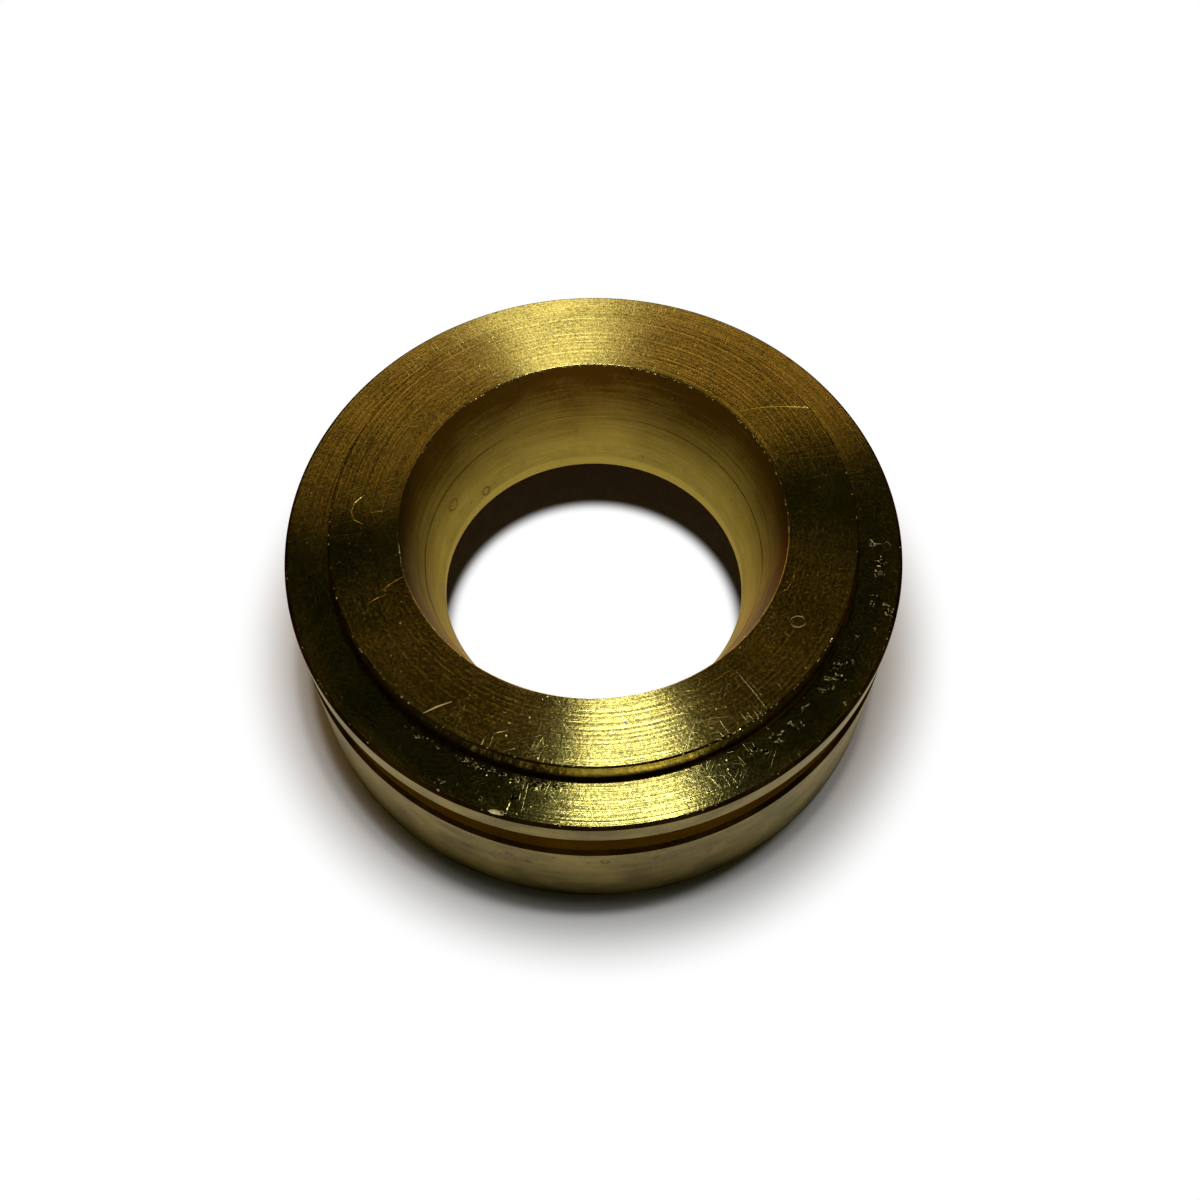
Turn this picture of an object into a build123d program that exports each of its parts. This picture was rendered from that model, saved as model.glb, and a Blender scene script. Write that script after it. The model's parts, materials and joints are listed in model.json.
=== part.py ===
from build123d import *
import os

# Bottom ring of a plunger pump's seal stack: one piece, turned from brass bar.
# It stands on its bottom face, with its axis on Z and its origin at that face's centre.

# Outside, in millimetres
outer_diameter = 36.0
barrel_height = 7.5  # from the bottom face up to the ring groove
land_height = 1.7  # from the ring groove up to the shoulder
shoulder_width = 2.8  # flat step between the land and the boss
boss_height = 1.7

# Groove for the sealing ring, round the outside
groove_width = 2.3
groove_depth = 1.3

# Bore: seal seat below, short lip round the plunger, tapered mouth above
plunger_diameter = 18.0
plunger_clearance = 0.15  # all round the plunger
lip_length = 0.9
taper_flare = 2.05  # how far the mouth opens out beyond the lip, on each side
seal_width = 4.0  # radial room that the lip leaves for the seal
seat_depth = 5.4

# Broken edges and corner radii
base_edge_break = 0.1
seat_lead_in = 0.3
groove_edge_break = 0.25  # lower edge of the groove
land_edge_break = 0.2
boss_edge_break = 0.1
boss_root_radius = 0.2

# Places worked out from the sizes above
outer_radius = outer_diameter / 2
boss_radius = outer_radius - shoulder_width
groove_radius = outer_radius - groove_depth
groove_top = barrel_height + groove_width
shoulder_height = groove_top + land_height
overall_height = shoulder_height + boss_height
lip_radius = plunger_diameter / 2 + plunger_clearance
mouth_radius = lip_radius + taper_flare
seat_radius = plunger_diameter / 2 + seal_width
lip_top = seat_depth + lip_length


def corner(radius, height):
    """The corner of the section being drawn that lies nearest to this radius and height."""
    return vertices().sort_by_distance((radius, height))[0]


with BuildPart() as bottom_ring:
    # Solid blank: barrel, shoulder and raised boss
    with BuildSketch(Plane.XZ):
        with BuildLine():
            Polyline(
                (0, 0),
                (outer_radius, 0),
                (outer_radius, shoulder_height),
                (boss_radius, shoulder_height),
                (boss_radius, overall_height),
                (0, overall_height),
                close=True,
            )
        make_face()
        chamfer(corner(outer_radius, 0), base_edge_break)
        chamfer(corner(outer_radius, shoulder_height), land_edge_break)
        chamfer(corner(boss_radius, overall_height), boss_edge_break)
        fillet(corner(boss_radius, shoulder_height), boss_root_radius)
    revolve(axis=Axis.Z)

    # Ring groove: square walls, lower edge broken
    with BuildSketch(Plane.XZ):
        with BuildLine():
            Polyline(
                (groove_radius, barrel_height),
                (outer_radius, barrel_height),
                (outer_radius, groove_top),
                (groove_radius, groove_top),
                close=True,
            )
        make_face()
        with BuildLine():
            Polyline(
                (outer_radius - groove_edge_break, barrel_height),
                (outer_radius, barrel_height - groove_edge_break),
                (outer_radius, barrel_height),
                close=True,
            )
        make_face()
    revolve(axis=Axis.Z, mode=Mode.SUBTRACT)

    # Bore: lead-in, seal seat, lip and tapered mouth in one section
    with BuildSketch(Plane.XZ):
        with BuildLine():
            Polyline(
                (0, 0),
                (seat_radius + seat_lead_in, 0),
                (seat_radius, seat_lead_in),
                (seat_radius, seat_depth),
                (lip_radius, seat_depth),
                (lip_radius, lip_top),
                (mouth_radius, overall_height),
                (0, overall_height),
                close=True,
            )
        make_face()
    revolve(axis=Axis.Z, mode=Mode.SUBTRACT)

bottom_ring.part.label = "bottom_ring"

os.makedirs("parts", exist_ok=True)
export_step(bottom_ring.part, "parts/bottom_ring.step")
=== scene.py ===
import json
import math
import random

import bpy
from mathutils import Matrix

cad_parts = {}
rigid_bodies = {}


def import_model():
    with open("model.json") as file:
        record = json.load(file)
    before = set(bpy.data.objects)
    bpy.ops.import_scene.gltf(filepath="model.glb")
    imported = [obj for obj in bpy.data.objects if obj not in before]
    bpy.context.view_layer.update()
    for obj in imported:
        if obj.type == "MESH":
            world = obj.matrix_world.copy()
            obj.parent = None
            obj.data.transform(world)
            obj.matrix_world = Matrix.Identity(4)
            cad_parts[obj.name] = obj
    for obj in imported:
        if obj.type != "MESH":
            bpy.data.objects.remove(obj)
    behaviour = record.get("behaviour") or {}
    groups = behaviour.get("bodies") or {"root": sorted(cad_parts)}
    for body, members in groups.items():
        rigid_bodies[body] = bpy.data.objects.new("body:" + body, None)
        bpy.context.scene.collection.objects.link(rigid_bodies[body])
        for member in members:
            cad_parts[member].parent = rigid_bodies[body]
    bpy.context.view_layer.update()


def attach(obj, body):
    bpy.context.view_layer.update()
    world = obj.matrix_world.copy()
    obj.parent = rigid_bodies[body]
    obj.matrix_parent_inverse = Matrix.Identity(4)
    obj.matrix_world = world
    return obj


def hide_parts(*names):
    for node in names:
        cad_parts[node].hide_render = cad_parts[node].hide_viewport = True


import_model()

mm = 0.001  # lengths are in millimetres unless a note says otherwise, and mm turns them to metres
draw = random.Random(26)  # all that is random comes from this


# Small helpers

def fromHex(code):
    # sRGB hex to the linear colour that the nodes want
    channels = [int(code[i:i + 2], 16) / 255 for i in (1, 3, 5)]
    return [c / 12.92 if c <= 0.04045 else ((c + 0.055) / 1.055) ** 2.4 for c in channels] + [1.0]


def setInputs(tree, node, inputs):
    # Links what is a socket, and sets what is a value
    for key, value in inputs.items():
        if isinstance(value, bpy.types.NodeSocket):
            tree.links.new(value, node.inputs[key])
        else:
            node.inputs[key].default_value = value


def addNode(tree, kind, inputs=None, **settings):
    # One node with its settings, its values and its links
    node = tree.nodes.new(kind)
    for name, value in settings.items():
        setattr(node, name, value)
    setInputs(tree, node, inputs or {})
    return node


def startMaterial(name):
    material = bpy.data.materials.new(name)
    material.use_nodes = True
    return material, material.node_tree, material.node_tree.nodes["Principled BSDF"]


def onRing(azimuth, radius, height):
    turn = math.radians(azimuth)
    return radius * math.cos(turn), radius * math.sin(turn), height


def selectNothing():
    if bpy.context.object and bpy.context.object.mode != "OBJECT":
        bpy.ops.object.mode_set(mode="OBJECT")
    bpy.ops.object.select_all(action="DESELECT")


def pickOnly(piece):
    selectNothing()
    piece.select_set(True)
    bpy.context.view_layer.objects.active = piece


def startPick(piece):
    # The piece's mesh in object mode, with none of it selected
    bpy.ops.object.mode_set(mode="OBJECT")
    mesh = piece.data
    for parts in (mesh.vertices, mesh.edges, mesh.polygons):
        for part in parts:
            part.select = False
    return mesh


def pickPoints(piece, wanted):
    # Selects mesh points by their radius and height, and ends in edit mode
    for point in startPick(piece).vertices:
        x, y, z = (c / mm for c in point.co)
        point.select = wanted(math.hypot(x, y), z)
    bpy.ops.object.mode_set(mode="EDIT")
    bpy.ops.mesh.select_mode(type="VERT")


def pickFaces(piece, wanted):
    # The same for faces, by their middles and by how far they look up, from -1 to 1
    for face in startPick(piece).polygons:
        x, y, z = (c / mm for c in face.center)
        face.select = wanted(math.hypot(x, y), z, face.normal.z)
    bpy.ops.object.mode_set(mode="EDIT")
    bpy.ops.mesh.select_mode(type="FACE")


# The ring: its section goes round from the bottom of the barrel, as (radius, height, steps to get there)

ring = {
    "segments": 720,
    "section": [
        # Base edge, barrel and its broken upper edge
        (17.89, 0.00, 0), (17.99, 0.10, 2), (17.99, 7.25, 2), (17.74, 7.50, 2),
        # Groove for the sealing ring
        (16.70, 7.50, 1), (16.70, 9.80, 2), (17.99, 9.80, 1),
        # Land and its broken edge
        (17.99, 11.30, 2), (17.79, 11.50, 2),
        # Shoulder and the root of the boss
        (15.40, 11.50, 3), (15.34, 11.52, 1), (15.26, 11.56, 1), (15.22, 11.62, 1), (15.20, 11.70, 1),
        # Boss and its face
        (15.20, 13.10, 2), (15.10, 13.20, 2), (11.20, 13.20, 4),
        # Tapered mouth, with a faint tool line and a deeper one
        (10.398, 10.500, 3), (10.384, 10.480, 1), (10.386, 10.460, 1),
        (10.060, 9.363, 2), (10.030, 9.340, 1), (10.046, 9.317, 1),
        # Lip round the plunger
        (9.15, 6.30, 3), (9.15, 5.40, 2),
        # Seal seat, its lead-in and the bottom face
        (13.00, 5.40, 3), (13.00, 0.30, 2), (13.30, 0.00, 1), (17.89, 0.00, 2),
    ],
    "mergeWithin": 0.001,
    # Crisp corners are rounded a little, so that they catch a line of light
    "crispCorners": [
        (16.70, 7.50), (16.70, 9.80), (17.99, 9.80), (11.20, 13.20),
        (9.15, 6.30), (9.15, 5.40), (13.00, 5.40),
    ],
    "cornerReach": 0.004,  # how near a corner its points are looked for
    "softened": 0.03,
    "softSteps": 2,
    "smoothBelow": 14,  # degrees between faces that shade as one
}


def turnRing(spec):
    # A circle, drawn out round the section one step at a time, as a lathe would follow it
    radius, height = spec["section"][0][:2]
    selectNothing()
    bpy.ops.mesh.primitive_circle_add(vertices=spec["segments"], radius=radius * mm,
                                      location=(0, 0, height * mm))
    piece = bpy.context.object
    piece.name = "ring_body"
    bpy.ops.object.mode_set(mode="EDIT")
    bpy.ops.mesh.select_mode(type="EDGE")
    bpy.ops.mesh.select_all(action="SELECT")
    for nextRadius, nextHeight, steps in spec["section"][1:]:
        startRadius, startHeight = radius, height
        for step in range(1, steps + 1):
            goalRadius = startRadius + (nextRadius - startRadius) * step / steps
            goalHeight = startHeight + (nextHeight - startHeight) * step / steps
            rise = (0, 0, (goalHeight - height) * mm)
            bpy.ops.mesh.extrude_edges_move(TRANSFORM_OT_translate={"value": rise})
            grow = goalRadius / radius
            bpy.ops.transform.resize(value=(grow, grow, 1), center_override=(0, 0, goalHeight * mm))
            radius, height = goalRadius, goalHeight
    bpy.ops.mesh.select_all(action="SELECT")
    bpy.ops.mesh.remove_doubles(threshold=spec["mergeWithin"] * mm)
    bpy.ops.mesh.normals_make_consistent(inside=False)
    bpy.ops.object.mode_set(mode="OBJECT")
    return piece


def softenCorners(piece, spec):
    def atCorner(r, z):
        return any(math.hypot(r - cr, z - cz) < spec["cornerReach"] for cr, cz in spec["crispCorners"])

    pickOnly(piece)
    pickPoints(piece, atCorner)
    bpy.ops.mesh.bevel(offset=spec["softened"] * mm, segments=spec["softSteps"], affect="EDGES")
    bpy.ops.object.mode_set(mode="OBJECT")


body = turnRing(ring)
print("ring turned:", len(body.data.polygons), "faces")
softenCorners(body, ring)
print("edges softened:", len(body.data.polygons), "faces")


# Finishes of turned brass

brass = {
    "feed": 0.15,  # between the tool's marks
    "markLength": 30.0,  # a mark keeps its depth for about this long
    "layRadius": 15.0,  # lengths along the lay are true at this radius
    "patches": 0.3,  # patches of film to a mm
    "prickSpacing": 0.55,
    "prickEdge": (0.11, 0.05),  # where a pinprick starts and where it is bare, as shares of that spacing
    "hairlineSets": [(0.6, 0.0, 0.7), (1.75, 7.0, 0.8), (2.8, 14.0, 0.9)],  # radians, shift, gaps to a mm
    "hairlineCell": (0.35, 3.2, 2.0),  # across a hairline, along it and into the metal
    "hairlineEdge": (0.02, 0.006),  # where a hairline starts and where it is bare, in the noise's value
    "hairlineGap": (0.52, 0.6),  # where a gap ends and where the hairline is back, in the noise's value
    "stainAndShade": "#33260F",
    "stainAndShadeGrain": 1.6,  # wobbles in a stain's outline to a mm
    "stainAndShadeWander": 0.45,  # how far they go
}

# What a finish has where it says nothing else
plainLook = {
    "glance": "#FFFFFF",  # tint at low angles
    "rubbed": (0, 0, 0),  # roughness added for each mm along x, y and z
    "paintedShadeLean": (0, 0, 0),  # painted shade: film added for each mm along x, y and z
    "patchy": 1.0,  # film in patches and streaks
    "speckle": 0.5,  # film in the fine grain
    "filmFrom": 0.8, "filmSpread": 0.4,  # where the film starts, and how much further it is whole
    "pricks": 0.1,  # share of the pinpricks that are there
    "hairlines": 0.0, "wornDepth": 0.0,  # how bare the hairlines are, and how deep the pinpricks and they go
    "stainsAndShade": [],  # as (azimuth, radius, height, radius of the stain's ring, its half width, strength)
}


def turnedBrass(name, look):
    look = {**plainLook, **look}
    material, tree, shader = startMaterial(name)
    # The place in mm, its distance from the axis, the way outwards, and the lay of the tool's marks
    coords = addNode(tree, "ShaderNodeTexCoord").outputs["Object"]
    place = addNode(tree, "ShaderNodeVectorMath", {0: coords, 3: 1 / mm}, operation="SCALE").outputs[0]
    flat = addNode(tree, "ShaderNodeVectorMath", {0: place, 1: (1, 1, 0)}, operation="MULTIPLY").outputs[0]
    radius = addNode(tree, "ShaderNodeVectorMath", {0: flat}, operation="LENGTH").outputs[1]
    outward = addNode(tree, "ShaderNodeVectorMath", {0: flat}, operation="NORMALIZE").outputs[0]
    lay = addNode(tree, "ShaderNodeVectorMath", {0: (0, 0, 1), 1: outward},
                  operation="CROSS_PRODUCT").outputs[0]
    parts = addNode(tree, "ShaderNodeSeparateXYZ", {0: place})
    turn = addNode(tree, "ShaderNodeSeparateXYZ", {0: outward})
    across = addNode(tree, "ShaderNodeMath", {0: radius, 1: parts.outputs[2]}, operation="ADD").outputs[0]

    def layNoise(spacing, length):
        # Noise drawn out along the tool's path: spacing across it and length along it
        along = [addNode(tree, "ShaderNodeMath", {0: turn.outputs[i], 1: brass["layRadius"] / length},
                         operation="MULTIPLY").outputs[0] for i in (0, 1)]
        side = addNode(tree, "ShaderNodeMath", {0: across, 1: 1 / spacing}, operation="MULTIPLY").outputs[0]
        point = addNode(tree, "ShaderNodeCombineXYZ", {0: along[0], 1: along[1], 2: side}).outputs[0]
        noise = addNode(tree, "ShaderNodeTexNoise", {"Vector": point, "Scale": 1.0, "Detail": 3.0})
        return noise.outputs["Fac"]

    # Colour: clean metal under a thin film, which lies in patches, in streaks and in the fine grain, and
    # which also grows thicker towards one side as painted shade
    grain = addNode(tree, "ShaderNodeTexNoise",
                    {"Vector": place, "Scale": look["grainScale"], "Detail": 2.0}).outputs["Fac"]
    speckle = addNode(tree, "ShaderNodeMath", {0: grain, 1: 0.5}, operation="SUBTRACT").outputs[0]
    patches = addNode(tree, "ShaderNodeTexNoise",
                      {"Vector": place, "Scale": brass["patches"], "Detail": 5.0}).outputs["Fac"]
    streaks = layNoise(look["streakSpacing"], look["streakLength"])
    uneven = addNode(tree, "ShaderNodeMath", {0: patches, 1: streaks}, operation="ADD").outputs[0]
    paintedShade = addNode(tree, "ShaderNodeVectorMath", {0: place, 1: look["paintedShadeLean"]},
                      operation="DOT_PRODUCT").outputs[1]
    uneven = addNode(tree, "ShaderNodeMath", {0: uneven, 1: look["patchy"], 2: paintedShade},
                     operation="MULTIPLY_ADD").outputs[0]
    uneven = addNode(tree, "ShaderNodeMath", {0: speckle, 1: look["speckle"], 2: uneven},
                     operation="MULTIPLY_ADD").outputs[0]
    filmAndShade = addNode(tree, "ShaderNodeMapRange",
                   {"Value": uneven, "From Min": look["filmFrom"],
                    "From Max": look["filmFrom"] + look["filmSpread"]}).outputs[0]
    colour = addNode(tree, "ShaderNodeMix", {0: filmAndShade, 6: fromHex(look["clean"]), 7: fromHex(look["filmAndShade"])},
                     data_type="RGBA").outputs[2]

    # Relief, in mm: the tool's marks, and a fine grain over them
    marks = layNoise(brass["feed"], brass["markLength"])
    marks = addNode(tree, "ShaderNodeMath", {0: marks, 1: look["marks"]}, operation="MULTIPLY").outputs[0]
    height = addNode(tree, "ShaderNodeMath", {0: grain, 1: look["grain"], 2: marks},
                     operation="MULTIPLY_ADD").outputs[0]

    # Wear: pinpricks and hairlines of bare metal, rougher than the turned face round them
    cells = addNode(tree, "ShaderNodeTexVoronoi", {"Vector": place, "Scale": 1 / brass["prickSpacing"]})
    edge, bare = brass["prickEdge"]
    pricks = addNode(tree, "ShaderNodeMapRange",
                     {"Value": cells.outputs["Distance"], "From Min": edge, "From Max": bare}).outputs[0]
    lot = addNode(tree, "ShaderNodeSeparateColor", {0: cells.outputs["Color"]}).outputs[0]
    kept = addNode(tree, "ShaderNodeMath", {0: lot, 1: 1 - look["pricks"]},
                   operation="GREATER_THAN").outputs[0]
    worn = addNode(tree, "ShaderNodeMath", {0: pricks, 1: kept}, operation="MULTIPLY").outputs[0]
    for angle, shift, gapScale in brass["hairlineSets"]:
        turned = addNode(tree, "ShaderNodeMapping",
                         {"Vector": place, "Rotation": (0, 0, angle), "Scale": brass["hairlineCell"],
                          "Location": (shift, 0, 0)}, vector_type="TEXTURE").outputs[0]
        hair = addNode(tree, "ShaderNodeTexNoise",
                       {"Vector": turned, "Scale": 1.0, "Detail": 0.0}).outputs["Fac"]
        ridge = addNode(tree, "ShaderNodeMath", {0: hair, 1: 0.5}, operation="SUBTRACT").outputs[0]
        ridge = addNode(tree, "ShaderNodeMath", {0: ridge}, operation="ABSOLUTE").outputs[0]
        edge, bare = brass["hairlineEdge"]
        line = addNode(tree, "ShaderNodeMapRange",
                       {"Value": ridge, "From Min": edge, "From Max": bare,
                        "To Max": look["hairlines"]}).outputs[0]
        gaps = addNode(tree, "ShaderNodeTexNoise",
                       {"Vector": place, "Scale": gapScale, "Detail": 1.0}).outputs["Fac"]
        edge, bare = brass["hairlineGap"]
        there = addNode(tree, "ShaderNodeMapRange",
                        {"Value": gaps, "From Min": edge, "From Max": bare}).outputs[0]
        drawn = addNode(tree, "ShaderNodeMath", {0: line, 1: there}, operation="MULTIPLY").outputs[0]
        worn = addNode(tree, "ShaderNodeMath", {0: worn, 1: drawn}, operation="MAXIMUM").outputs[0]
    height = addNode(tree, "ShaderNodeMath", {0: worn, 1: -look["wornDepth"], 2: height},
                     operation="MULTIPLY_ADD").outputs[0]

    # Stains dried on, and rings of painted shade drawn the same way: uneven rings, or spots where the ring
    # has no radius
    wander = brass["stainAndShadeWander"]
    wobble = addNode(tree, "ShaderNodeTexNoise",
                     {"Vector": place, "Scale": brass["stainAndShadeGrain"], "Detail": 2.0}).outputs["Color"]
    shaken = addNode(tree, "ShaderNodeVectorMath", {0: wobble, 1: (wander, wander, wander), 2: place},
                     operation="MULTIPLY_ADD").outputs[0]
    for azimuth, far, level, size, band, depth in look["stainsAndShade"]:
        middle = [c + wander / 2 for c in onRing(azimuth, far, level)]
        away = addNode(tree, "ShaderNodeVectorMath", {0: shaken, 1: middle},
                       operation="DISTANCE").outputs[1]
        away = addNode(tree, "ShaderNodeMath", {0: away, 1: size}, operation="SUBTRACT").outputs[0]
        away = addNode(tree, "ShaderNodeMath", {0: away}, operation="ABSOLUTE").outputs[0]
        stainAndShade = addNode(tree, "ShaderNodeMapRange",
                        {"Value": away, "From Min": band, "From Max": 0.0, "To Max": depth},
                        interpolation_type="SMOOTHSTEP").outputs[0]
        colour = addNode(tree, "ShaderNodeMix", {0: stainAndShade, 6: colour, 7: fromHex(brass["stainAndShade"])},
                         data_type="RGBA").outputs[2]

    colour = addNode(tree, "ShaderNodeMix", {0: worn, 6: colour, 7: fromHex(look["bare"])},
                     data_type="RGBA").outputs[2]
    rough = addNode(tree, "ShaderNodeMapRange",
                    {"Value": worn, "To Min": look["roughness"],
                     "To Max": look["bareRoughness"]}).outputs[0]
    rubbed = addNode(tree, "ShaderNodeVectorMath", {0: place, 1: look["rubbed"]},
                     operation="DOT_PRODUCT").outputs[1]
    rough = addNode(tree, "ShaderNodeMath", {0: rough, 1: rubbed}, operation="ADD").outputs[0]
    bump = addNode(tree, "ShaderNodeBump", {"Strength": 1.0, "Distance": mm, "Height": height}).outputs[0]
    # A quarter turn from the lay, because light stretches across the marks
    setInputs(tree, shader, {
        "Base Color": colour, "Roughness": rough, "Metallic": 1.0, "Specular Tint": fromHex(look["glance"]),
        "Anisotropic": look["anisotropic"], "Anisotropic Rotation": 0.25, "Tangent": lay, "Normal": bump})
    return material


# Faced with a pointed tool: the marks run round, so light stretches into bright sectors. The near side is
# smoother, and painted shade gives it more film
facedBrass = turnedBrass("faced_brass", {
    "clean": "#D6C668", "filmAndShade": "#7E7A40", "bare": "#D8CC88",
    "roughness": 0.231, "bareRoughness": 0.38, "rubbed": (0, 0.0021, 0), "anisotropic": 1.0,
    "paintedShadeLean": (0, -0.011, 0), "speckle": 2.2, "filmFrom": 0.65, "filmSpread": 0.8,
    "streakSpacing": 0.09, "streakLength": 0.45, "marks": 0.025, "grain": 0.003, "grainScale": 6.5,
    "pricks": 0.6, "hairlines": 0.3, "wornDepth": 0.003,
    # The second is painted shade: a thin dark ring in the corner at the foot of the boss
    "stainsAndShade": [(323.4, 14.37, 13.2, 0.0, 0.28, 0.7), (0, 0, 11.5, 15.42, 0.16, 0.7)]})
# Turned and rubbed by handling: satin, with soft smudges. Its dull olive, deeper up on the land, is painted
# shade
barrelBrass = turnedBrass("barrel_brass", {
    "clean": "#8A783C", "filmAndShade": "#5F5126", "bare": "#978957", "glance": "#FBF6E6",
    "roughness": 0.36, "bareRoughness": 0.5, "anisotropic": 0.6,
    "paintedShadeLean": (0, 0, 0.012), "patchy": 1.2, "speckle": 0.6, "filmFrom": 0.93, "filmSpread": 0.6,
    "streakSpacing": 0.9, "streakLength": 1.6, "marks": 0.002, "grain": 0.001, "grainScale": 6.0,
    "pricks": 0.2, "hairlines": 0.3, "wornDepth": 0.002,
    "stainsAndShade": [
        (254.0, 18.0, 5.9, 0.0, 0.5, 0.7), (257.5, 18.0, 5.2, 0.0, 0.35, 0.7),
        (262.5, 18.0, 6.6, 0.0, 0.25, 0.8), (268.6, 18.0, 6.1, 0.0, 0.22, 1.0),
        (271.4, 18.0, 6.2, 0.22, 0.1, 1.0), (275.0, 18.0, 5.4, 0.0, 0.3, 0.7),
        (280.5, 18.0, 5.9, 0.0, 0.45, 0.7), (246.0, 18.0, 4.6, 0.0, 0.6, 0.5),
        (291.0, 18.0, 4.4, 0.0, 0.6, 0.5),
    ]})
# Bored: smoother, and with painted shade browner the higher it lies, most of all towards the mouth
boredBrass = turnedBrass("bored_brass", {
    "clean": "#CEB350", "filmAndShade": "#67460E", "bare": "#CDB878", "glance": "#E6DABC",
    "roughness": 0.36, "bareRoughness": 0.4, "anisotropic": 0.95,
    "paintedShadeLean": (0, 0, 0.11), "patchy": 0.45, "speckle": 0.2, "filmFrom": 1.08, "filmSpread": 0.72,
    "streakSpacing": 0.16, "streakLength": 5.0, "marks": 0.003, "grain": 0.001, "grainScale": 6.0,
    "hairlines": 0.04, "wornDepth": 0.002,
    "stainsAndShade": [
        (153.0, 9.68, 8.1, 0.38, 0.12, 0.6), (137.0, 9.2, 6.6, 0.3, 0.14, 0.6),
        (96.0, 9.74, 8.3, 0.0, 0.22, 0.5), (146.0, 9.3, 6.9, 0.0, 0.15, 0.5),
        # The last is painted shade: a dark ring round the lip, at the mouth of the seal seat
        (70.0, 9.3, 6.7, 0.0, 0.2, 0.5), (0, 0, 5.75, 9.15, 0.5, 0.3),
    ]})
# The boss wall and the burrs: cut with a sharp tool, and almost a mirror
sharpBrass = turnedBrass("sharp_cut_brass", {
    "clean": "#F4E096", "filmAndShade": "#E4C872", "bare": "#E6D8A4",
    "roughness": 0.17, "bareRoughness": 0.3, "anisotropic": 0.3,
    "streakSpacing": 0.2, "streakLength": 3.0, "marks": 0.001, "grain": 0.001, "grainScale": 4.0,
    "hairlines": 0.1, "wornDepth": 0.001})
# Painted shade: the broken edges and the root of the boss are darkened brown, standing in for the dark they
# mirror
edgeShadeBrass = turnedBrass("edge_shade_brass", {
    "clean": "#47310F", "filmAndShade": "#261A08", "bare": "#6A5222", "glance": "#6A4A20",
    "roughness": 0.5, "bareRoughness": 0.5, "anisotropic": 0.5,
    "streakSpacing": 0.3, "streakLength": 2.0, "marks": 0.002, "grain": 0.002, "grainScale": 6.0})
# Bare metal in the dents and scratches: no lay, so it glints at any angle
bruisedBrass = turnedBrass("bruised_brass", {
    "clean": "#EFE3B4", "filmAndShade": "#CFBF88", "bare": "#F0E8C8",
    "roughness": 0.58, "bareRoughness": 0.6, "anisotropic": 0.0,
    "streakSpacing": 0.15, "streakLength": 0.3, "marks": 0.0, "grain": 0.006, "grainScale": 10.0})
# Painted shade: the wall of the seal seat is darkened brown, so that the hollow under the lip stays dark
seatShadeBrass = turnedBrass("seat_shade_brass", {
    "clean": "#6E5240", "filmAndShade": "#4C3628", "bare": "#8A7A58", "glance": "#B09878",
    "roughness": 0.45, "bareRoughness": 0.5, "anisotropic": 0.5,
    "streakSpacing": 0.3, "streakLength": 2.0, "marks": 0.002, "grain": 0.001, "grainScale": 6.0,
    "hairlines": 0.04, "wornDepth": 0.001})


def onOutside(r, z, up):
    return r > 15.9 and abs(up) < 0.9


def inBoreOrGroove(r, z, up):
    bore = r < 14 and z < 13.15 and abs(up) < 0.98
    underside = r < 15.9 and 0.05 < z < 6
    groove = 16 < r < 17.95 and 7.3 < z < 9.9
    return bore or underside or groove


def onBossWall(r, z, up):
    return 14 < r < 15.3 and 11.69 < z < 13.1


def onSeatWall(r, z, up):
    return 9.3 < r < 13.4 and 0.05 < z < 5.45


def onBrokenEdge(r, z, up):
    # The edges of the groove, the land and the boss, and the root of the boss
    edge = r > 15 and z > 5 and 0.5 < up < 0.9 and (r > 17 or z > 13)
    root = 15.2 < r < 15.38 and 11.5 < z < 11.69
    return edge or root


def finishRing(piece):
    # The faced finish is all over it first, and each of the others covers what came before
    slots = piece.data.materials
    for material in (facedBrass, barrelBrass, boredBrass, edgeShadeBrass, sharpBrass, seatShadeBrass):
        slots.append(material)
    pickOnly(piece)
    for material, wanted in ((barrelBrass, onOutside), (boredBrass, inBoreOrGroove),
                             (sharpBrass, onBossWall), (seatShadeBrass, onSeatWall),
                             (edgeShadeBrass, onBrokenEdge)):
        pickFaces(piece, wanted)
        piece.active_material_index = slots.find(material.name)
        bpy.ops.object.material_slot_assign()
    bpy.ops.object.mode_set(mode="OBJECT")


finishRing(body)
print("finishes on")


# Wear: dents, scratches, nicks and burrs, cut into the ring or joined to it

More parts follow.
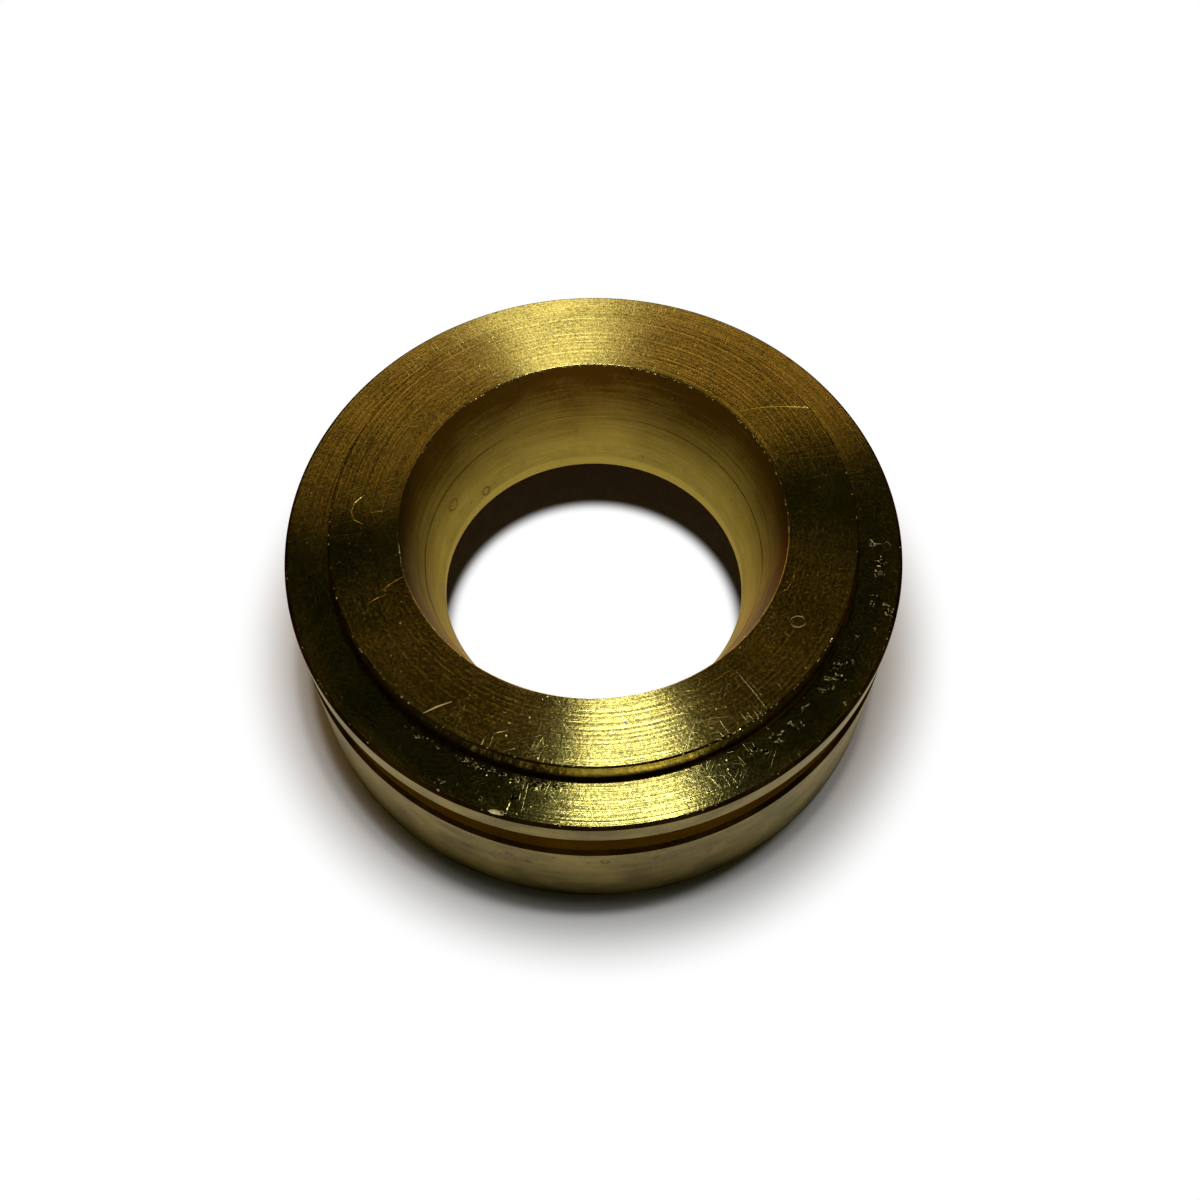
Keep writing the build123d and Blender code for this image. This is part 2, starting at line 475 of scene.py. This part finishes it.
wear = {
    "shoulderHeight": 11.50,
    "faceHeight": 13.20,
    # Dents on the shoulder, as (azimuth, radius, length, width, heading)
    "dents": [
        (357.2, 16.33, 0.42, 0.15, 114), (357.5, 17.21, 0.36, 0.09, 127), (354.0, 16.70, 0.36, 0.09, 127),
        (353.0, 16.56, 0.33, 0.08, 144), (352.9, 16.78, 0.27, 0.08, 120), (350.7, 16.43, 0.22, 0.13, 122),
        (350.8, 16.76, 0.15, 0.12, 117), (345.4, 16.47, 0.21, 0.07, 12), (343.5, 16.52, 0.27, 0.10, 84),
        (344.0, 17.29, 0.22, 0.06, 170), (342.4, 17.53, 0.44, 0.12, 143), (338.2, 17.01, 0.10, 0.09, 179),
        (335.4, 16.31, 0.22, 0.10, 9), (329.5, 16.27, 0.17, 0.12, 90), (332.1, 16.00, 0.09, 0.09, 95),
        (330.0, 16.65, 0.14, 0.10, 116), (327.6, 15.88, 0.32, 0.20, 61), (326.6, 15.87, 0.17, 0.13, 32),
        (325.6, 16.28, 0.23, 0.17, 29), (324.3, 16.02, 0.33, 0.09, 175), (325.5, 16.52, 0.29, 0.10, 147),
        (322.9, 16.39, 0.16, 0.13, 71), (321.5, 16.17, 0.12, 0.12, 129), (321.3, 15.92, 0.12, 0.07, 124),
        (315.6, 15.91, 0.43, 0.07, 40), (313.2, 16.44, 0.16, 0.12, 57), (311.4, 16.01, 0.14, 0.12, 21),
        (308.3, 16.00, 0.37, 0.13, 20), (306.9, 15.96, 0.22, 0.08, 26), (306.9, 16.42, 0.26, 0.10, 39),
        (302.0, 15.95, 0.26, 0.17, 157), (303.7, 16.38, 0.24, 0.12, 28), (321.6, 17.48, 0.12, 0.09, 20),
        (228.8, 15.74, 0.12, 0.12, 29), (229.9, 15.73, 0.26, 0.09, 155), (232.8, 15.80, 0.24, 0.14, 163),
        (234.8, 15.67, 0.18, 0.09, 148), (237.0, 15.73, 0.12, 0.10, 160), (241.7, 15.71, 0.14, 0.14, 143),
        (245.2, 15.63, 0.53, 0.17, 155), (248.0, 15.65, 0.59, 0.17, 166), (251.6, 15.64, 0.16, 0.13, 160),
        (254.8, 15.64, 0.21, 0.10, 162), (256.7, 15.67, 0.50, 0.12, 167), (259.6, 15.66, 0.66, 0.15, 169),
        (262.1, 15.66, 0.48, 0.12, 172), (241.3, 17.30, 0.30, 0.09, 15), (249.4, 17.34, 0.12, 0.12, 156),
        (254.5, 16.87, 0.14, 0.09, 139), (254.9, 16.79, 0.27, 0.09, 42), (257.4, 17.25, 0.10, 0.10, 147),
    ],
    "dentDepth": 0.008,
    # A dent is a few slivers struck close together, as shares of its own sizes
    "slivers": 7,
    "sliverAlong": 0.8,  # how far they lie from its middle, along it and across it
    "sliverAcross": 1.2,
    "sliverLength": (0.6, 1.5),
    "sliverWidth": (0.5, 1.3),
    "sliverDepth": (0.5, 1.3),
    "sliverTurn": 40,  # degrees
    "sliverRagged": 0.3,
    # The row beside the boss, inside this radius and before this azimuth, spreads this share across
    "closeRow": (15.85, 270, 0.4),
    # Knocks on the edges, as (azimuth, radius, height, length, width, depth, heading)
    "knocks": [
        (252.6, 17.82, 11.50, 0.95, 0.44, 0.07, 168), (253.7, 17.66, 11.50, 0.26, 0.20, 0.07, 160),
        (241.8, 17.78, 11.48, 0.20, 0.12, 0.06, 152), (288.5, 17.80, 11.45, 0.24, 0.16, 0.08, 18),
        (343.5, 17.72, 11.50, 0.12, 0.10, 0.05, 97), (337.3, 17.84, 11.48, 0.16, 0.08, 0.05, 49),
        (268.6, 11.20, 13.20, 0.62, 0.28, 0.16, 179), (280.0, 11.20, 13.20, 0.22, 0.14, 0.08, 10),
        (284.6, 11.20, 13.20, 0.20, 0.12, 0.08, 14), (275.5, 15.12, 13.20, 0.05, 0.24, 0.06, 2),
        (226.6, 15.12, 13.18, 0.16, 0.12, 0.06, 136), (12.0, 15.15, 13.18, 0.15, 0.10, 0.05, 102),
    ],
    "knockRagged": 0.02,
    # Scratches on the boss face, as (width, depth, points): one down to bare metal and an oval scuff
    "bareScratches": [
        (0.09, 0.016, [(-9.22, -11.98), (-8.46, -11.58), (-7.68, -11.29)]),
        (0.03, 0.004, [(11.66, -6.58), (11.54, -6.38), (11.27, -6.30), (10.98, -6.39), (10.80, -6.60)]),
        (0.03, 0.004, [(10.82, -6.76), (10.99, -6.96), (11.28, -7.01), (11.55, -6.90), (11.68, -6.70)]),
    ],
    # Faint ones, which kept the finish of the face
    "faintScratches": [
        (0.08, 0.014, [(8.84, 7.62), (10.00, 7.89), (11.38, 7.94), (12.87, 7.83), (13.82, 7.54)]),
        (0.05, 0.010, [(13.99, 3.52), (14.65, 3.38)]),
        (0.05, 0.010, [(-11.88, -4.49), (-11.43, -4.04), (-10.71, -3.55)]),
        (0.05, 0.010, [(-12.61, -5.28), (-12.12, -4.93), (-11.51, -4.67)]),
        (0.04, 0.008, [(-13.75, -5.58), (-13.08, -5.23), (-12.81, -5.72)]),
        (0.04, 0.008, [(-12.48, -5.50), (-12.65, -5.81), (-12.95, -5.94)]),
        (0.04, 0.008, [(-13.21, 1.93), (-13.78, 1.36), (-13.94, 0.79), (-13.74, 0.22), (-13.15, -0.12)]),
        (0.04, 0.008, [(-12.92, 0.69), (-12.36, 0.77), (-11.96, 0.86)]),
        (0.04, 0.008, [(-7.55, -11.22), (-6.30, -11.06)]),
        (0.04, 0.008, [(-8.88, -12.21), (-8.06, -12.16)]),
        (0.07, 0.014, [(14.19, -4.90), (14.29, -5.14), (14.18, -5.41)]),
        (0.06, 0.012, [(10.38, -7.06), (10.50, -7.36), (10.79, -7.60)]),
        (0.04, 0.008, [(11.41, -3.21), (11.15, -3.98), (10.83, -4.56), (10.43, -4.80)]),
        (0.04, 0.010, [(3.95, -14.32), (3.95, -14.58)]),
    ],
    "keelTip": 0.2,  # a scratch starts and ends at this share of its width and depth
    # Burrs left standing on the mouth's edge and on the boss edge, as (azimuth, radius, length)
    "burrs": [
        (96.4, 11.19, 0.12), (85.9, 11.19, 0.16), (77.5, 11.19, 0.18), (72.1, 11.18, 0.20),
        (69.8, 11.19, 0.22), (66.8, 11.19, 0.30), (61.7, 11.19, 0.16), (58.1, 11.19, 0.20),
        (37.8, 11.19, 0.16), (35.3, 11.19, 0.16), (24.9, 11.19, 0.12), (21.4, 11.19, 0.18),
        (16.7, 11.19, 0.16), (110.5, 11.19, 0.12), (126.0, 11.19, 0.14), (133.0, 11.19, 0.12),
        (187.9, 11.18, 0.16), (190.1, 11.19, 0.20), (317.5, 11.18, 0.18), (176.7, 15.13, 0.24),
        (185.3, 15.13, 0.20), (297.6, 15.14, 0.30), (299.2, 15.14, 0.24), (300.6, 15.14, 0.26),
        (302.1, 15.14, 0.16),
    ],
    # A burr's middle up the ring, its width and height, and how ragged it is
    "burrShape": (13.12, 0.09, 0.12, 0.012),
    # Rows of tiny burrs that catch the light, as (from azimuth, to azimuth, radius, count)
    "burrRows": [
        (48, 132, 11.19, 46), (132, 235, 11.19, 16), (-55, 48, 11.19, 18), (283, 330, 15.14, 26),
        (170, 226, 15.14, 9),
    ],
    "tinyBurrLength": (0.06, 0.2),
    "tinyBurrShape": (13.13, 0.07, 0.09, 0.01),
    # Tiny nicks round the three upper edges, as (radius, height)
    "nickEdges": [(11.20, 13.20), (15.12, 13.19), (17.84, 11.46)],
    "nicks": 130,
    "nickLength": (0.05, 0.14),
    "nickSection": 0.6,  # width and depth, as a share of the length
    "nickRagged": 0.1,
    "bottomReach": 0.05,  # points below this height belong to the ring's bottom
}


def addPebble(place, size, heading, ragged):
    # A rough little lump in the mesh being edited: a ball 1 mm across, drawn out to its size
    middle = [c * mm for c in place]
    bpy.ops.mesh.primitive_ico_sphere_add(subdivisions=2, radius=0.5 * mm, location=middle)
    bpy.ops.transform.resize(value=size, center_override=middle)
    bpy.ops.transform.vertex_random(offset=ragged * mm, seed=draw.randrange(999))
    bpy.ops.transform.rotate(value=-math.radians(heading), orient_axis="Z", center_override=middle)


def addBurr(azimuth, radius, length, shape):
    level, width, tall, ragged = shape
    addPebble(onRing(azimuth, radius, level), (length, width, tall), azimuth + 90, ragged)


def addDent(dent, spec):
    azimuth, radius, length, width, heading = dent
    along = math.radians(heading)
    x, y, z = onRing(azimuth, radius, spec["shoulderHeight"])
    closeRadius, closeAzimuth, closeShare = spec["closeRow"]
    spread = closeShare if radius < closeRadius and azimuth < closeAzimuth else 1.0
    for sliver in range(spec["slivers"]):
        step = draw.uniform(-spec["sliverAlong"], spec["sliverAlong"]) * length
        side = draw.uniform(-spec["sliverAcross"], spec["sliverAcross"]) * width * spread
        place = (x + step * math.cos(along) - side * math.sin(along),
                 y + step * math.sin(along) + side * math.cos(along), z)
        depth = spec["dentDepth"] * draw.uniform(*spec["sliverDepth"])
        size = (draw.uniform(*spec["sliverLength"]) * length,
                draw.uniform(*spec["sliverWidth"]) * width, 2 * depth)
        turn = draw.uniform(-spec["sliverTurn"], spec["sliverTurn"])
        addPebble(place, size, heading + turn, spec["sliverRagged"] * width)


def addKeel(points, height, width, depth, tip):
    # A thin keel drawn along its path, which leaves a scratch where it is cut away
    headings = [math.atan2(b[1] - a[1], b[0] - a[0]) for a, b in zip(points, points[1:])]
    x, y = points[0]
    bpy.ops.mesh.primitive_circle_add(vertices=4, radius=0.5 * width * mm, fill_type="NGON",
                                      location=(x * mm, y * mm, height * mm),
                                      rotation=(math.pi / 2, 0, headings[0] + math.pi / 2))
    full = tip
    bpy.ops.transform.resize(value=(full, full, full * 2 * depth / width),
                             center_override=(x * mm, y * mm, height * mm))
    for i, (nextX, nextY) in enumerate(points[1:]):
        move = ((nextX - x) * mm, (nextY - y) * mm, 0)
        bpy.ops.mesh.extrude_region_move(TRANSFORM_OT_translate={"value": move})
        x, y = nextX, nextY
        last = i == len(headings) - 1
        goal = tip if last else 1.0
        bpy.ops.transform.resize(value=(goal / full,) * 3, center_override=(x * mm, y * mm, height * mm))
        full = goal
        if not last:
            bpy.ops.transform.rotate(value=-(headings[i + 1] - headings[i]), orient_axis="Z",
                                     center_override=(x * mm, y * mm, height * mm))


def startTool(name):
    # An empty mesh to gather cutters in, left in edit mode
    selectNothing()
    bpy.ops.mesh.primitive_plane_add(size=mm)
    tool = bpy.context.object
    tool.name = name
    bpy.ops.object.mode_set(mode="EDIT")
    bpy.ops.mesh.select_all(action="SELECT")
    bpy.ops.mesh.delete(type="VERT")
    return tool


def useTool(piece, tool, operation, finish):
    # Joins the tool to the piece or cuts it away, and the tool's finish stays on the new faces
    bpy.ops.mesh.select_all(action="SELECT")
    bpy.ops.mesh.normals_make_consistent(inside=False)
    bpy.ops.object.mode_set(mode="OBJECT")
    tool.data.materials.append(finish)
    pickOnly(piece)
    change = piece.modifiers.new(tool.name, "BOOLEAN")
    change.object = tool
    change.operation = operation
    change.solver = "MANIFOLD"
    change.material_mode = "TRANSFER"
    bpy.ops.object.modifier_apply(modifier=change.name)
    bpy.data.objects.remove(tool, do_unlink=True)


def clearCrumbs(piece, spec):
    # What the cuts left loose isn't joined to the bottom any more
    pickOnly(piece)
    pickPoints(piece, lambda r, z: z < spec["bottomReach"])
    bpy.ops.mesh.select_linked()
    bpy.ops.mesh.select_all(action="INVERT")
    bpy.ops.mesh.delete(type="VERT")
    bpy.ops.object.mode_set(mode="OBJECT")


def markRing(piece, spec):
    burrs = startTool("burrs")
    for azimuth, radius, length in spec["burrs"]:
        addBurr(azimuth, radius, length, spec["burrShape"])
    for start, end, radius, count in spec["burrRows"]:
        for i in range(count):
            azimuth = draw.uniform(start, end)
            length = draw.uniform(*spec["tinyBurrLength"])
            addBurr(azimuth, radius, length, spec["tinyBurrShape"])
    useTool(piece, burrs, "UNION", sharpBrass)
    bruises = startTool("dents")
    for dent in spec["dents"]:
        addDent(dent, spec)
    for azimuth, radius, height, length, width, depth, heading in spec["knocks"]:
        addPebble(onRing(azimuth, radius, height), (length, width, 2 * depth), heading, spec["knockRagged"])
    for width, depth, points in spec["bareScratches"]:
        addKeel(points, spec["faceHeight"], width, depth, spec["keelTip"])
    for i in range(spec["nicks"]):
        radius, height = spec["nickEdges"][i % len(spec["nickEdges"])]
        azimuth = draw.uniform(0, 360)
        length = draw.uniform(*spec["nickLength"])
        across = spec["nickSection"] * length
        addPebble(onRing(azimuth, radius, height), (length, across, across), azimuth + 90,
                  spec["nickRagged"] * length)
    useTool(piece, bruises, "DIFFERENCE", bruisedBrass)
    faint = startTool("faint_scratches")
    for width, depth, points in spec["faintScratches"]:
        addKeel(points, spec["faceHeight"], width, depth, spec["keelTip"])
    useTool(piece, faint, "DIFFERENCE", facedBrass)
    clearCrumbs(piece, spec)


markRing(body, wear)
pickOnly(body)
bpy.ops.object.shade_smooth_by_angle(angle=math.radians(ring["smoothBelow"]))
print("wear cut in:", len(body.data.polygons), "faces")

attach(body, "root")
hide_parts("bottom_ring")


# Floor, light and camera

studio = {
    "floorRadius": 4.0,  # in metres, as are the next three and the lamps
    "floorDrop": 0.00002,  # the card lies just below the ring
    "lampHeight": 1.0,
    "lampBack": 0.086,
    # Two lamps hang side by side above and behind the ring, a little to its right, as (side, width, watts)
    "lamps": [(0.0150, 0.048, 1.15), (0.1030, 0.0520, 1.25)],
    "floorColour": "#F4F3F0",
    "floorRoughness": 0.9,
    # Where the card fades from the ring's shadow to plain white, round the ring and in its middle
    "fades": [(18.1, 23.5), (9.9, 8.8)],
}

selectNothing()
bpy.ops.mesh.primitive_circle_add(vertices=128, radius=studio["floorRadius"], fill_type="NGON",
                                  location=(0, 0, -studio["floorDrop"]))
floor = bpy.context.object
floor.name = "floor"
floorPaint, card, cardShader = startMaterial("matt_white_card")
setInputs(card, cardShader, {"Base Color": fromHex(studio["floorColour"]),
                             "Roughness": studio["floorRoughness"]})
# Away from the ring the camera and the metal see the card as plain white; the ring's shadow stays
seen = addNode(card, "ShaderNodeLightPath").outputs
seenBy = addNode(card, "ShaderNodeMath", {0: seen["Is Camera Ray"], 1: seen["Is Glossy Ray"]},
                 operation="MAXIMUM").outputs[0]
seenBy = addNode(card, "ShaderNodeMath", {0: seenBy, 1: seen["Is Transmission Ray"]},
                 operation="MAXIMUM").outputs[0]
cardPlace = addNode(card, "ShaderNodeTexCoord").outputs["Object"]
fromAxis = addNode(card, "ShaderNodeVectorMath", {0: cardPlace}, operation="LENGTH").outputs[1]
fades = [addNode(card, "ShaderNodeMapRange",
                 {"Value": fromAxis, "From Min": start * mm, "From Max": end * mm},
                 interpolation_type="SMOOTHSTEP").outputs[0] for start, end in studio["fades"]]
fade = addNode(card, "ShaderNodeMath", {0: fades[0], 1: fades[1]}, operation="MAXIMUM").outputs[0]
share = addNode(card, "ShaderNodeMath", {0: seenBy, 1: fade}, operation="MULTIPLY").outputs[0]
glow = addNode(card, "ShaderNodeEmission", {"Color": (1, 1, 1, 1), "Strength": 1.0}).outputs[0]
mixed = addNode(card, "ShaderNodeMixShader", {0: share, 1: cardShader.outputs[0], 2: glow}).outputs[0]
setInputs(card, card.nodes["Material Output"], {"Surface": mixed})
floor.data.materials.append(floorPaint)

for side, width, power in studio["lamps"]:
    lamp = bpy.data.lights.new("overhead_lamp", "AREA")
    lamp.shape = "DISK"
    lamp.size = width
    lamp.energy = power
    lampObject = bpy.data.objects.new("overhead_lamp", lamp)
    bpy.context.collection.objects.link(lampObject)
    lampObject.location = (side, studio["lampBack"], studio["lampHeight"])

# The room that the metal mirrors, with angles in degrees. Each "Soft" is how far an edge fades to each side
room = {
    "dark": "#1A1C10",  # most of the room, which leaves the brass its deep shades
    "warm": "#FFCA84",  # a warm panel behind the ring
    "warmLight": 1.75,
    "warmTop": 36.0,  # above the floor
    "warmTopSoft": 3.0,
    "warmSide": 43.0,  # to each side of its middle
    "warmSideSoft": 4.0,
    "warmTurn": 7.0,  # how far its middle lies to the left
    "pale": "#D8D4CB",  # a pale band along the floor
    "paleTop": 3.0,
    "paleSoft": 2.0,
}


def softEdge(middle, soft):
    # From nothing beyond the edge to everything within it
    return {"From Min": math.radians(middle + soft), "From Max": math.radians(middle - soft)}


world = bpy.data.worlds.new("room")
bpy.context.scene.world = world
world.use_nodes = True
sky = world.node_tree
skyPlace = addNode(sky, "ShaderNodeTexCoord").outputs["Generated"]
way = addNode(sky, "ShaderNodeSeparateXYZ", {0: skyPlace}).outputs
up = addNode(sky, "ShaderNodeMath", {0: way[2]}, operation="ARCSINE").outputs[0]
around = addNode(sky, "ShaderNodeMath", {0: way[0], 1: way[1]}, operation="ARCTAN2").outputs[0]
around = addNode(sky, "ShaderNodeMath", {0: around, 1: math.radians(room["warmTurn"])},
                 operation="ADD").outputs[0]
aside = addNode(sky, "ShaderNodeMath", {0: around}, operation="ABSOLUTE").outputs[0]
below = addNode(sky, "ShaderNodeMapRange",
                {"Value": up, **softEdge(room["warmTop"], room["warmTopSoft"])}).outputs[0]
beside = addNode(sky, "ShaderNodeMapRange",
                 {"Value": aside, **softEdge(room["warmSide"], room["warmSideSoft"])}).outputs[0]
warmth = addNode(sky, "ShaderNodeMath", {0: below, 1: beside}, operation="MULTIPLY").outputs[0]
horizon = addNode(sky, "ShaderNodeMapRange",
                  {"Value": up, **softEdge(room["paleTop"], room["paleSoft"])}).outputs[0]
warm = addNode(sky, "ShaderNodeVectorMath", {0: fromHex(room["warm"])[:3], 3: room["warmLight"]},
               operation="SCALE").outputs[0]
cool = addNode(sky, "ShaderNodeMix", {0: horizon, 6: fromHex(room["dark"]), 7: fromHex(room["pale"])},
               data_type="RGBA").outputs[2]
roomLight = addNode(sky, "ShaderNodeMix", {0: warmth, 6: cool, 7: warm}, data_type="RGBA").outputs[2]
setInputs(sky, sky.nodes["Background"], {"Color": roomLight})

view = {
    "place": (0.0, -43.738, 84.259),  # from the middle of the ring's bottom face
    "turn": (28.4848, 0.0512, -0.5845),  # degrees
    "lens": 43.572,
    "sensor": 36,
    "clipStart": 0.001,  # metres
}
camera = bpy.data.cameras.new("camera")
camera.lens = view["lens"]
camera.sensor_width = view["sensor"]
camera.clip_start = view["clipStart"]
cameraObject = bpy.data.objects.new("camera", camera)
bpy.context.collection.objects.link(cameraObject)
cameraObject.location = [c * mm for c in view["place"]]
cameraObject.rotation_euler = [math.radians(c) for c in view["turn"]]
bpy.context.scene.camera = cameraObject
bpy.context.scene.view_settings.view_transform = "Standard"
print("studio set")
